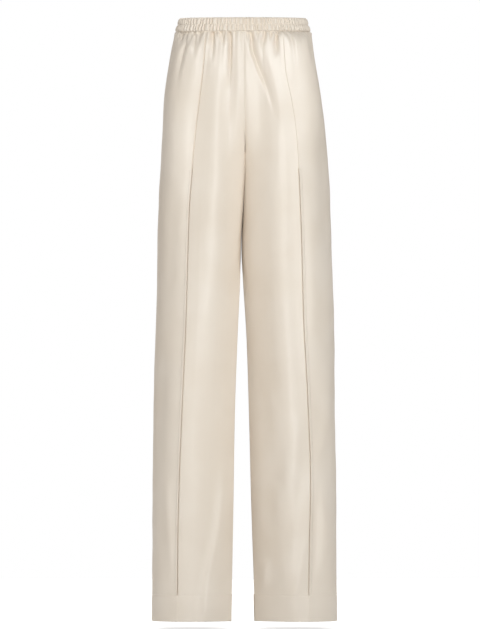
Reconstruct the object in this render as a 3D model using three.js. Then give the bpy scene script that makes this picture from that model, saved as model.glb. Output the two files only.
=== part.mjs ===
// Relaxed pull-on pants in satin, filled out as they hang from a waist: a gathered elastic waistband, two front and
// two back leg panels, a pressed front tuck down each leg, and a deep turned-up hem.
// Millimetres, +Z up. The front faces -Y and the wearer's right leg is at -X. The origin is the middle of the waist
// opening, half way up the waistband, where the wearer's waist holds the garment.
// A "drop" is a distance down from the top of the waistband. "Outer" and "inner" are distances from the plane x = 0.
import * as THREE from "three";

// Driving dimensions.
const OUTSEAM = 1131;
const BAND_HEIGHT = 26;
const BAND_TOP = BAND_HEIGHT / 2;
const BAND_WALL = 2.6;
const CLOTH = 1.2;
const SEAM_GAP = 0.3;
const CROTCH_DROP = 268;
const HEM_HEIGHT = 50;
const HEM_CLOTH = 1.0;
const TUCK_TOP = 284;
const TUCK_WIDTH = 4;
const TUCK_ROOT = 0.7;
const TUCK_EDGE = 1.3;
const PLEAT_EDGE = 1.5;
const HEM_DROP = OUTSEAM - HEM_HEIGHT;
const PANEL_TOP = BAND_HEIGHT + SEAM_GAP;

// How the one ring round the hips forks into two legs. Each panel is round from the side seam to a middle line and flat
// from there to the centre seam. The middle line moves out to the middle of the leg, and below the fork drop the flat
// part curves in between the thighs until the centre seam reaches the crotch. The power says how square a curve is: the
// thighs press each other flat just below the crotch, and the legs are rounder further down.
const SECTION_POWER = 2.15;
const WAIST_FLAT = 0.15;
const FORK_DROP = 200;
const FORK_START_POWER = 2.5;
const FORK_END_POWER = 0.6;
const THIGH_POWER = [
  { drop: CROTCH_DROP, power: 4.4 },
  { drop: 350, power: 3 },
  { drop: 520, power: SECTION_POWER },
];

// Outline from the front, for each of the wearer's legs.
const OUTLINE = [
  { drop: 0, right: 119, left: 116 },
  { drop: 26, right: 127, left: 124 },
  { drop: 43, right: 131, left: 127 },
  { drop: 80, right: 138.5, left: 133 },
  { drop: 155, right: 149.5, left: 145 },
  { drop: 230, right: 153.5, left: 153.5 },
  { drop: 342, right: 159, left: 161 },
  { drop: 492, right: 163, left: 165 },
  { drop: 716, right: 167, left: 168.5 },
  { drop: 940, right: 170, left: 171.5 },
  { drop: OUTSEAM, right: 171, left: 172.5 },
];

// The centre seam down to the crotch, then the inseam of each leg. The legs touch down to a drop of about 450.
const INSEAM = [
  { drop: 0, right: -0.5, left: 0.5 },
  { drop: 200, right: -1.5, left: 1.5 },
  { drop: CROTCH_DROP, right: -2.4, left: 2.4 },
  { drop: 342, right: 0.4, left: -0.4 },
  { drop: 436, right: 5, left: -4.2 },
  { drop: 492, right: 6.6, left: -1.4 },
  { drop: 604, right: 11.6, left: 5.4 },
  { drop: 754, right: 16.8, left: 10.1 },
  { drop: 903, right: 19, left: 13.8 },
  { drop: OUTSEAM, right: 23.2, left: 21.5 },
];

// Outline from the side: how far the front and the back stand from the side seam.
const DEPTH = [
  { drop: 0, front: 88, back: 95 },
  { drop: 26, front: 91, back: 100 },
  { drop: 80, front: 97, back: 113 },
  { drop: 155, front: 102, back: 125 },
  { drop: 230, front: 104, back: 129 },
  { drop: 342, front: 102, back: 124 },
  { drop: 492, front: 98, back: 115 },
  { drop: 716, front: 94, back: 106 },
  { drop: OUTSEAM, front: 91, back: 99 },
];

// The pressed front crease: a loose pleat from the waistband, then the stitched tuck down to the hem.
const CREASE = [
  { drop: 26, right: 72, left: 74 },
  { drop: 99, right: 77.5, left: 79 },
  { drop: 155, right: 84, left: 90 },
  { drop: 208, right: 90.5, left: 98 },
  { drop: 284, right: 97.8, left: 103.5 },
  { drop: 364, right: 104, left: 107 },
  { drop: 574, right: 109, left: 112.8 },
  { drop: 716, right: 115, left: 120 },
  { drop: 877, right: 121, left: 125 },
  { drop: 1000, right: 123.6, left: 122.8 },
  { drop: OUTSEAM, right: 124, left: 121.6 },
];

// Pleat step beside the crease, and the soft ridge that pressing leaves.
const PLEAT = [
  { drop: PANEL_TOP, step: 0.8, ridge: 0.5 },
  { drop: 120, step: 3, ridge: 1.6 },
  { drop: 284, step: 2.2, ridge: 2.2 },
  { drop: 600, step: 0.6, ridge: 3 },
  { drop: OUTSEAM, step: 0.4, ridge: 2.4 },
];
const PLEAT_REACH = 34;

// The largest folds. "at" is the fold's distance from x = 0 at its top and bottom, and a negative height is a trough.
const FOLDS = [
  { leg: "right", face: "front", top: 28, bottom: 290, at: 22, to: 31, width: 9, height: -4.2 },
  { leg: "right", face: "front", top: 28, bottom: 170, at: 104, to: 122, width: 8, height: -3.2 },
  { leg: "right", face: "front", top: 60, bottom: 330, at: 50, to: 60, width: 16, height: 2.4 },
  { leg: "left", face: "front", top: 28, bottom: 300, at: 14, to: 58, width: 9, height: -4.2 },
  { leg: "left", face: "front", top: 28, bottom: 110, at: 62, to: 56, width: 7, height: -3 },
  { leg: "left", face: "front", top: 240, bottom: 420, at: 34, to: 40, width: 20, height: -2.6 },
  { leg: "right", face: "front", top: 860, bottom: 1190, at: 44, to: 92, width: 13, height: -3.2 },
  { leg: "left", face: "front", top: 700, bottom: 980, at: 102, to: 62, width: 13, height: 2.8 },
  { leg: "left", face: "front", top: 840, bottom: 1160, at: 148, to: 100, width: 12, height: 2.6 },
  { leg: "right", face: "back", top: 28, bottom: 210, at: 40, to: 52, width: 10, height: -3.6 },
  { leg: "right", face: "back", top: 28, bottom: 150, at: 88, to: 104, width: 9, height: -3 },
  { leg: "left", face: "back", top: 28, bottom: 190, at: 28, to: 46, width: 10, height: -3.8 },
  { leg: "left", face: "back", top: 28, bottom: 140, at: 80, to: 98, width: 9, height: -3 },
  { leg: "right", face: "back", top: 300, bottom: 520, at: 40, to: 74, width: 17, height: -3.4 },
  { leg: "left", face: "back", top: 290, bottom: 500, at: 44, to: 80, width: 17, height: -3 },
  { leg: "right", face: "back", top: 760, bottom: 1130, at: 84, to: 60, width: 16, height: 2.6 },
  { leg: "left", face: "back", top: 700, bottom: 1090, at: 66, to: 98, width: 16, height: 2.8 },
];

// Gathers where the panels meet the waistband, and the finer ones of the waistband itself.
const GATHERS_BEFORE_CREASE = 13;
const GATHERS_AFTER_CREASE = 18;
const GATHER_HEIGHT = 1.7;
const GATHER_REACH = 26;
const GATHER_END = 160;
const BAND_GATHERS = 28;
const BAND_ROWS = [
  { drop: 0, swell: -0.2, gather: 0.6 },
  { drop: 6.5, swell: 1.1, gather: 1 },
  { drop: 13, swell: -0.2, gather: 0.5 },
  { drop: 19.5, swell: 1.1, gather: 1 },
  { drop: BAND_HEIGHT, swell: 0, gather: 0.6 },
];

// Mesh steps.
const COLUMNS_BEFORE_CREASE = 6;
const COLUMNS_ABOVE_FORK = 8;
const COLUMNS_BELOW_FORK = 12;
const CURVE_STEPS = 120;
const DROPS = [
  PANEL_TOP, 36, 50, 74, 110, GATHER_END, 190, 210, 226, 240, 252, 261, CROTCH_DROP, TUCK_TOP, 320, 364, 410, 450, 492,
  545, 604, 664, 724, 790, 856, 920, 980, 1034, HEM_DROP, 1106, OUTSEAM,
];

const LEGS = { right: -1, left: 1 };
const FACES = { front: -1, back: 1 };
const SATIN = new THREE.MeshStandardMaterial({ color: 0xeee4d6, roughness: 0.45, metalness: 0 });

// Rise over run between a table row and the next one.
function chord(table, column, row) {
  return (table[row + 1][column] - table[row][column]) / (table[row + 1].drop - table[row].drop);
}

// Slope of the smooth curve at a table row: the harmonic mean of its two chords, so that the curve never overshoots.
function slope(table, column, row) {
  if (row === 0) return chord(table, column, 0);
  if (row === table.length - 1) return chord(table, column, row - 1);
  const before = chord(table, column, row - 1);
  const after = chord(table, column, row);
  return before * after <= 0 ? 0 : (2 * before * after) / (before + after);
}

// A column's value at a drop, on a smooth curve through the table's rows.
function smoothAt(table, column, drop) {
  const last = table.length - 1;
  if (drop <= table[0].drop) return table[0][column];
  if (drop >= table[last].drop) return table[last][column];
  const row = table.findIndex((line) => line.drop > drop) - 1;
  const span = table[row + 1].drop - table[row].drop;
  const t = (drop - table[row].drop) / span;
  const [from, to] = [table[row][column], table[row + 1][column]];
  const leave = slope(table, column, row) * span * t * (1 - t) ** 2;
  const arrive = slope(table, column, row + 1) * span * t * t * (1 - t);
  return from + (to - from) * t * t * (3 - 2 * t) + leave - arrive;
}

// A rounded rise from 0 to 1 and back over the stretch from one drop to another.
function swellBetween(top, bottom, drop) {
  const t = THREE.MathUtils.clamp((drop - top) / (bottom - top), 0, 1);
  return Math.sin(Math.PI * t) ** 0.7;
}

// How far a panel's flat part has curved in between the thighs: 0 above the fork, 1 from the crotch down.
function forkShare(drop) {
  const share = THREE.MathUtils.clamp((drop - FORK_DROP) / (CROTCH_DROP - FORK_DROP), 0, 1);
  const seamDepth = (1 - share ** FORK_START_POWER) ** FORK_END_POWER;
  const power = smoothAt(THIGH_POWER, "power", drop);
  return (1 - seamDepth ** power) ** (1 / power);
}

// One panel's curve at a drop, from the side seam to the centre seam or inseam, with its length measured along it.
function panelCurve(leg, face, drop, gap) {
  const outer = smoothAt(OUTLINE, leg, drop);
  const inner = smoothAt(INSEAM, leg, drop) + gap / 2;
  const depth = smoothAt(DEPTH, face, drop);
  const flat = WAIST_FLAT + (1 - WAIST_FLAT) * THREE.MathUtils.smoothstep(drop, 0, CROTCH_DROP);
  const middle = (flat * (outer + inner)) / 2;
  const fork = forkShare(drop);
  const points = [];
  for (let step = 0; step <= CURVE_STEPS; step++) {
    const angle = (Math.PI * step) / CURVE_STEPS;
    const inside = angle > Math.PI / 2;
    const power = inside ? smoothAt(THIGH_POWER, "power", drop) : SECTION_POWER;
    const across = Math.abs(Math.cos(angle)) ** (2 / power);
    const x = inside ? middle - (middle - inner) * across : middle + (outer - middle) * across;
    const out = depth * (1 - ((inside ? fork : 1) * across) ** power) ** (1 / power);
    const arc = step ? points[step - 1].arc + Math.hypot(x - points[step - 1].x, out - points[step - 1].out) : 0;
    points.push({ x, out, arc });
  }
  return { points, length: points[CURVE_STEPS].arc, leg, face, drop, gap };
}

// The place and outward normal at an arc length along a panel's curve.
function placeOn(curve, arc) {
  const { points, leg, face, drop, gap } = curve;
  const next = Math.max(1, points.findIndex((point) => point.arc >= arc - 1e-9));
  const [a, b] = [points[next - 1], points[next]];
  const t = (arc - a.arc) / (b.arc - a.arc);
  const x = LEGS[leg] * THREE.MathUtils.lerp(a.x, b.x, t);
  const y = FACES[face] * (gap / 2 + THREE.MathUtils.lerp(a.out, b.out, t));
  const before = points[Math.max(0, next - 2)];
  const after = points[Math.min(CURVE_STEPS, next + 1)];
  const normal = new THREE.Vector3(LEGS[leg] * (after.out - before.out), FACES[face] * (before.x - after.x), 0);
  return { point: new THREE.Vector3(x, y, BAND_TOP - drop), normal: normal.normalize() };
}

// Arc length at which a panel's curve crosses the crease line.
function creaseArc(curve) {
  const at = smoothAt(CREASE, curve.leg, curve.drop);
  const next = curve.points.findIndex((point) => point.x <= at);
  const [a, b] = [curve.points[next - 1], curve.points[next]];
  return THREE.MathUtils.lerp(a.arc, b.arc, (at - a.x) / (b.x - a.x));
}

// Arc lengths of a panel's columns: evenly from the side seam to the tuck, over the tuck to the crease line, down the
// pleat's edge, then evenly to the end. "tuckStart" is the column at which the tuck starts.
function columnArcs(curve, gathered) {
  const crease = creaseArc(curve);
  const plain = THREE.MathUtils.lerp(COLUMNS_ABOVE_FORK, COLUMNS_BELOW_FORK, forkShare(curve.drop));
  const tuckStart = gathered ? GATHERS_BEFORE_CREASE : COLUMNS_BEFORE_CREASE;
  const after = gathered ? GATHERS_AFTER_CREASE : Math.round(plain);
  const past = crease + PLEAT_EDGE;
  const arcs = [];
  for (let i = 0; i <= tuckStart; i++) arcs.push(((crease - TUCK_WIDTH) * i) / tuckStart);
  arcs.push(crease);
  for (let i = 0; i <= after; i++) arcs.push(past + ((curve.length - past) * i) / after);
  return { arcs, crease, tuckStart };
}

// Uneven share, from 0.55 to 1, that makes neighbouring gathers differ.
function uneven(index) {
  return 0.775 + 0.225 * Math.sin(index * 2.4 + 1.3 * Math.sin(index * 0.7));
}

// Height of the pleat and crease at a distance past the crease line: a step just past it, lying over the inner side.
function pleatHeight(drop, past) {
  const reach = Math.exp(-Math.abs(past) / PLEAT_REACH);
  const step = past < PLEAT_EDGE / 2 ? smoothAt(PLEAT, "step", drop) * reach : 0;
  return step + smoothAt(PLEAT, "ridge", drop) * reach;
}

// Height of the largest folds at a point of a panel.
function foldHeight(leg, face, drop, place) {
  let height = 0;
  for (const fold of FOLDS) {
    if (fold.leg !== leg || fold.face !== face || drop < fold.top || drop > fold.bottom) continue;
    const share = (drop - fold.top) / (fold.bottom - fold.top);
    const away = (Math.abs(place.point.x) - THREE.MathUtils.lerp(fold.at, fold.to, share)) / fold.width;
    const facing = Math.min(1, Math.abs(place.normal.y) * 1.4);
    height += fold.height * facing * Math.exp(-away * away) * swellBetween(fold.top, fold.bottom, drop);
  }
  return height;
}

// One row of a panel: for each column its place, normal and the height of the cloth's outside over the plain form.
function panelRow(leg, face, drop) {
  const gathered = drop <= GATHER_END;
  const curve = panelCurve(leg, face, drop, SEAM_GAP);
  const { arcs, crease, tuckStart } = columnArcs(curve, gathered);
  const columns = arcs.map((arc, index) => {
    const place = placeOn(curve, arc);
    const seam = index === 0 || index === arcs.length - 1;
    const creased = index >= tuckStart && index <= tuckStart + 2;
    const wave = gathered && !seam && !creased ? (index % 2 ? 1 : -1) * uneven(index) : 0;
    const gather = GATHER_HEIGHT * wave * Math.exp((PANEL_TOP - drop) / GATHER_REACH);
    const pleat = face === "front" ? pleatHeight(drop, arc - crease) : 0;
    const edge = seam ? 0 : 1;
    return { ...place, height: gather + edge * (pleat + foldHeight(leg, face, drop, place)) };
  });
  return { columns, steps: arcs.map((arc) => arc - crease) };
}

// A column's point, moved out from the plain form by the cloth's height there and a further distance.
function moved(column, distance) {
  return column.point.clone().addScaledVector(column.normal, column.height + distance);
}

// Triangles between two lines of vertices, walking along both in the order of their steps.
function strip(a, b, triangles, turned = false) {
  let [i, j] = [0, 0];
  while (i < a.ids.length - 1 || j < b.ids.length - 1) {
    const stepA = j === b.ids.length - 1 || (i < a.ids.length - 1 && a.steps[i + 1] <= b.steps[j + 1]);
    const [from, to] = [a.ids[i], b.ids[j]];
    const next = stepA ? a.ids[++i] : b.ids[++j];
    triangles.push(...(turned ? [to, from, next] : [from, to, next]));
  }
}

// A closed wall from rows of outside and inside points, top row first. A ring's rows close on themselves.
function wallGeometry(rows, { ring = false, flip = false }) {
  const positions = [];
  const triangles = [];
  const line = (points, steps) => {
    const ids = points.map((point) => positions.push(...point.toArray()) / 3 - 1);
    return ring ? { ids: [...ids, ids[0]], steps: [...steps, 1] } : { ids, steps };
  };
  const outside = rows.map((row) => line(row.outside, row.outsideSteps ?? row.steps));
  const inside = rows.map((row) => line(row.inside, row.insideSteps ?? row.steps));
  const last = rows.length - 1;
  for (let i = 0; i < last; i++) {
    strip(outside[i], outside[i + 1], triangles);
    strip(inside[i], inside[i + 1], triangles, true);
  }
  strip(inside[0], outside[0], triangles);
  strip(outside[last], inside[last], triangles);
  if (!ring) {
    const side = (lines, end) => ({ ids: lines.map((each) => each.ids.at(end)), steps: lines.map((_, i) => i) });
    strip(side(outside, 0), side(inside, 0), triangles);
    strip(side(inside, -1), side(outside, -1), triangles);
  }
  if (flip) triangles.reverse();
  const geometry = new THREE.BufferGeometry();
  geometry.setAttribute("position", new THREE.Float32BufferAttribute(positions, 3));
  geometry.setIndex(triangles);
  return geometry;
}

// Whether a panel's columns run from right to left as seen from outside it.
function runsBackwards(leg, face) {
  return LEGS[leg] * FACES[face] < 0;
}

// A front or back leg panel, from the waistband to the hem.
function panel(leg, face) {
  const rows = DROPS.map((drop) => {
    const { columns, steps } = panelRow(leg, face, drop);
    const outside = columns.map((column) => moved(column, 0));
    const inside = columns.map((column) => moved(column, -CLOTH));
    return { outside, inside, steps };
  });
  return wallGeometry(rows, { flip: runsBackwards(leg, face) });
}

// The stitched tuck: a narrow flap on the front panel, thin where it is stitched and full at its folded edge.
function tuck(leg) {
  const rows = DROPS.filter((drop) => drop >= TUCK_TOP && drop <= HEM_DROP).map((drop) => {
    const { columns, steps } = panelRow(leg, "front", drop);
    const [start, end] = [COLUMNS_BEFORE_CREASE, COLUMNS_BEFORE_CREASE + 2];
    const flap = columns.slice(start, end);
    const inside = flap.map((column) => moved(column, SEAM_GAP));
    const outside = flap.map((column, i) => moved(column, SEAM_GAP + (i ? TUCK_EDGE : TUCK_ROOT)));
    return { outside, inside, steps: steps.slice(start, end) };
  });
  return wallGeometry(rows, { flip: runsBackwards(leg, "front") });
}

// The turned-up hem: a ring just inside the foot of a leg, made from the panels' own points.
function hem(leg) {
  const rows = DROPS.filter((drop) => drop >= HEM_DROP).map((drop) => {
    const front = panelRow(leg, "front", drop).columns;
    const back = panelRow(leg, "back", drop).columns.slice(1, -1).reverse();
    const columns = [...front, ...back];
    const outside = columns.map((column) => moved(column, -CLOTH - SEAM_GAP));
    const inside = columns.map((column) => moved(column, -CLOTH - SEAM_GAP - HEM_CLOTH));
    return { outside, inside, steps: columns.map((_, i) => i / columns.length) };
  });
  return wallGeometry(rows, { ring: true, flip: leg === "left" });
}

// Evenly spaced columns all round the waist at a drop, anticlockwise from above, starting at the left side seam.
function aroundWaist(drop, perQuarter) {
  const quarters = [["left", "back", 0], ["right", "back", 1], ["right", "front", 0], ["left", "front", 1]];
  return quarters.flatMap(([leg, face, fromCentre]) => {
    const curve = panelCurve(leg, face, drop, 0);
    return Array.from({ length: perQuarter }, (_, i) => {
      const share = i / perQuarter;
      return placeOn(curve, curve.length * (fromCentre ? 1 - share : share));
    });
  });
}

// The waistband: a gathered casing in two channels, over a plain inside.
function waistband() {
  const perQuarter = 2 * BAND_GATHERS;
  const rows = BAND_ROWS.map(({ drop, swell, gather }) => {
    const around = aroundWaist(drop, perQuarter);
    const outside = around.map((place, i) => {
      const wave = (i % 2 ? 1 : -1) * gather * uneven(i);
      return moved({ ...place, height: swell }, wave);
    });
    const inside = around.filter((_, i) => i % 2 === 0).map((place) => moved({ ...place, height: 0 }, -BAND_WALL));
    const steps = (points) => points.map((_, i) => i / points.length);
    return { outside, inside, outsideSteps: steps(outside), insideSteps: steps(inside) };
  });
  return wallGeometry(rows, { ring: true });
}

// A named mesh in the garment's satin.
function piece(name, geometry) {
  geometry.computeVertexNormals();
  const mesh = new THREE.Mesh(geometry, SATIN);
  mesh.name = name;
  return mesh;
}

const pants = new THREE.Group();
pants.add(piece("waistband", waistband()));
for (const leg of Object.keys(LEGS)) {
  for (const face of Object.keys(FACES)) pants.add(piece(`${face}_${leg}`, panel(leg, face)));
  pants.add(piece(`tuck_${leg}`, tuck(leg)));
  pants.add(piece(`hem_${leg}`, hem(leg)));
}

export default pants;
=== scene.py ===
"""Relaxed pull-on pants in cream satin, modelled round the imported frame.

The cut and drape are worked out in millimetres and every mesh is made in metres. A "drop" is a distance down from the
top of the waistband, and "across" is a distance from the plane x = 0, outwards on either leg. The front faces -Y and
the wearer's right leg is at -X. The origin is the middle of the waist opening, half way up the waistband.
"""

import logging
import math
from dataclasses import dataclass, field
from enum import Enum

import bmesh
import bpy
import numpy as np
from mathutils import Matrix, Vector

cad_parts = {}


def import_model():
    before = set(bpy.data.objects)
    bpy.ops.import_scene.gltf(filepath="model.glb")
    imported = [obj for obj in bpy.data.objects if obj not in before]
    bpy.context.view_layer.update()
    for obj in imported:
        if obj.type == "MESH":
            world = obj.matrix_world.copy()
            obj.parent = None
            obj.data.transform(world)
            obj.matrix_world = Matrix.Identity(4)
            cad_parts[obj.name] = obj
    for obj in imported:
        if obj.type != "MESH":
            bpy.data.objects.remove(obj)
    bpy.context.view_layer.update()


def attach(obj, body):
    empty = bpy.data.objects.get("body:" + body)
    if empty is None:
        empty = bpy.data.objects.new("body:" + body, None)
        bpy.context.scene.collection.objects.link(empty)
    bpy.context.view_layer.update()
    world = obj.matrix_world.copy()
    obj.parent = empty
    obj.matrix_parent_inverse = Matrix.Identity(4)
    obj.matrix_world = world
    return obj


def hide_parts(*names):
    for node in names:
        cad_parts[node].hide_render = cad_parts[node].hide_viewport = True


BODY = "root"
CLOTH_MAP = "cloth"
MM = 0.001
MERGE_GAP = 0.02
TINY = 1e-9
SPACING_SAMPLES = 4000
LOG = logging.getLogger("pants")

Triple = tuple[float, float, float]
Range = tuple[float, float]
Rows = tuple[tuple[float, float], ...]


class Side(Enum):
    """A side of the pants, with the sign of its direction."""

    @property
    def word(self) -> str:
        """The side's name in lower case."""
        return self.name.lower()


class Leg(Side):
    """The wearer's leg, with the side of x = 0 that it is on."""

    RIGHT = -1
    LEFT = 1


class Face(Side):
    """The front or back half of a leg, with its direction along Y."""

    FRONT = -1
    BACK = 1


def eased(values: np.ndarray, start: float, end: float) -> np.ndarray:
    """Rises smoothly from 0 at start to 1 at end.

    Args:
        values: Where along the rise each point is.
        start: The value at which the rise starts.
        end: The value at which it ends.

    Returns:
        The eased share at each point.
    """
    share = np.clip((values - start) / (end - start), 0, 1)
    return share * share * (3 - 2 * share)


def hump(away: np.ndarray, width: float | np.ndarray, power: float = 2.0) -> np.ndarray:
    """Gives a smooth hump of height 1.

    Args:
        away: Distance from the hump's middle.
        width: The distance at which it has sunk to about a third.
        power: How square its shoulders are.

    Returns:
        The height at each distance.
    """
    return np.exp(-np.abs(away / width) ** power)


@dataclass(frozen=True)
class Line:
    """A smooth curve through (drop, value) rows that never overshoots them."""

    rows: Rows

    def at(self, drops: np.ndarray) -> np.ndarray:
        """Gives the curve's value at each drop.

        Args:
            drops: Distances down from the top of the waistband.

        Returns:
            The values, in the same shape.
        """
        place, value = np.array(self.rows, float).T
        chord = np.diff(value) / np.diff(place)
        slope = np.concatenate([chord[:1], np.zeros(len(chord) - 1), chord[-1:]])
        same_way = chord[:-1] * chord[1:] > 0
        total = np.where(same_way, chord[:-1] + chord[1:], 1)
        slope[1:-1] = np.where(same_way, 2 * chord[:-1] * chord[1:] / total, 0)
        held = np.clip(drops, place[0], place[-1])
        row = np.clip(np.searchsorted(place, held, side="right") - 1, 0, len(place) - 2)
        span = place[row + 1] - place[row]
        t = (held - place[row]) / span
        leave = slope[row] * span * t * (1 - t) ** 2
        arrive = slope[row + 1] * span * t * t * (1 - t)
        return value[row] + (value[row + 1] - value[row]) * t * t * (3 - 2 * t) + leave - arrive


def lines_by(kinds: type[Side], *tables: Rows) -> dict[Side, Line]:
    """Makes a dataclass field that holds a curve for each leg or face.

    Args:
        kinds: Leg or Face.
        *tables: The curves' rows, in the members' order.

    Returns:
        The field.
    """
    return field(default_factory=lambda: {kind: Line(rows) for kind, rows in zip(kinds, tables)})


@dataclass(frozen=True)
class Wave:
    """A sine wave that makes even things a little uneven."""

    size: float
    rate: float
    turned: float = 1.0
    phase: float = 0.0

    def at(self, values: np.ndarray, turn: float | np.ndarray = 0.0) -> np.ndarray:
        """Gives the wave's height at each value, moved along by a turn."""
        return self.size * np.sin(self.rate * values + self.turned * turn + self.phase)


@dataclass
class Section:
    """The plain horizontal curves of one panel, a row for each drop, from the side seam to the centre or inseam.

    Between the thighs a curve ends in a flat wall, where the two legs press on each other.
    """

    leg: Leg
    face: Face
    drops: np.ndarray
    across: np.ndarray
    out: np.ndarray
    wall: np.ndarray
    wall_samples: int
    crease: np.ndarray
    gap: float
    band_top: float
    wall_onset: Range = (1, 12)
    least_turn: float = 9
    sideways_lean: float = 0.4
    arc: np.ndarray = field(init=False)

    def __post_init__(self) -> None:
        """Measures each curve along itself and finds its outward direction."""
        step = np.hypot(np.diff(self.across), np.diff(self.out))
        self.arc = np.concatenate([np.zeros((len(self.drops), 1)), np.cumsum(step, axis=1)], axis=1)
        width, depth = np.gradient(self.across, axis=1), np.gradient(self.out, axis=1)
        length = np.maximum(np.hypot(width, depth), TINY)
        self._sideways, self._outwards = depth / length, -width / length
        faced, walled = self.wall_samples + 2, self.walled
        self._sideways[:, -faced:] = -walled + (1 - walled) * self._sideways[:, -faced - 1:-faced]
        self._outwards[:, -faced:] = (1 - walled) * self._outwards[:, -faced - 1:-faced]

    @property
    def walled(self) -> np.ndarray:
        """How fully each curve ends in a wall, from 0 to 1, as a column."""
        return eased(self.wall, *self.wall_onset)

    @property
    def length(self) -> np.ndarray:
        """Each curve's whole length, as a column."""
        return self.arc[:, -1:]

    def crease_arc(self) -> np.ndarray:
        """Gives the arc length at which each curve meets the front crease, as a column."""
        found = [np.interp(-at, -x, arc) for at, x, arc in zip(self.crease, self.across, self.arc)]
        return np.array(found)[:, None]

    def meeting_arc(self) -> np.ndarray:
        """Gives the arc length at which each curve turns into its wall, or nearly its end, as a column."""
        return self.length - np.maximum(self.wall, self.least_turn)

    def _read(self, values: np.ndarray, arcs: np.ndarray) -> np.ndarray:
        """Reads values kept along the curves at other arc lengths, a row for each curve."""
        return np.array([np.interp(want, arc, row) for want, arc, row in zip(arcs, self.arc, values)])

    def place(self, arcs: np.ndarray) -> tuple[np.ndarray, np.ndarray]:
        """Places points on the plain form.

        Args:
            arcs: Arc lengths along the curves, a row for each drop.

        Returns:
            The points in millimetres, and the directions in which the cloth stands off them. These lean to the front
            and back, so that a fold stays where it is placed.
        """
        across, out = self._read(self.across, arcs), self._read(self.out, arcs)
        sideways, outwards = self.sideways_lean * self._read(self._sideways, arcs), self._read(self._outwards, arcs)
        height = np.broadcast_to((self.band_top - self.drops)[:, None], arcs.shape)
        points = np.stack([self.leg.value * across, self.face.value * (self.gap / 2 + out), height], axis=-1)
        normals = np.stack([self.leg.value * sideways, self.face.value * outwards, 0 * height], axis=-1)
        return points, normals / np.linalg.norm(normals, axis=-1, keepdims=True)


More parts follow.
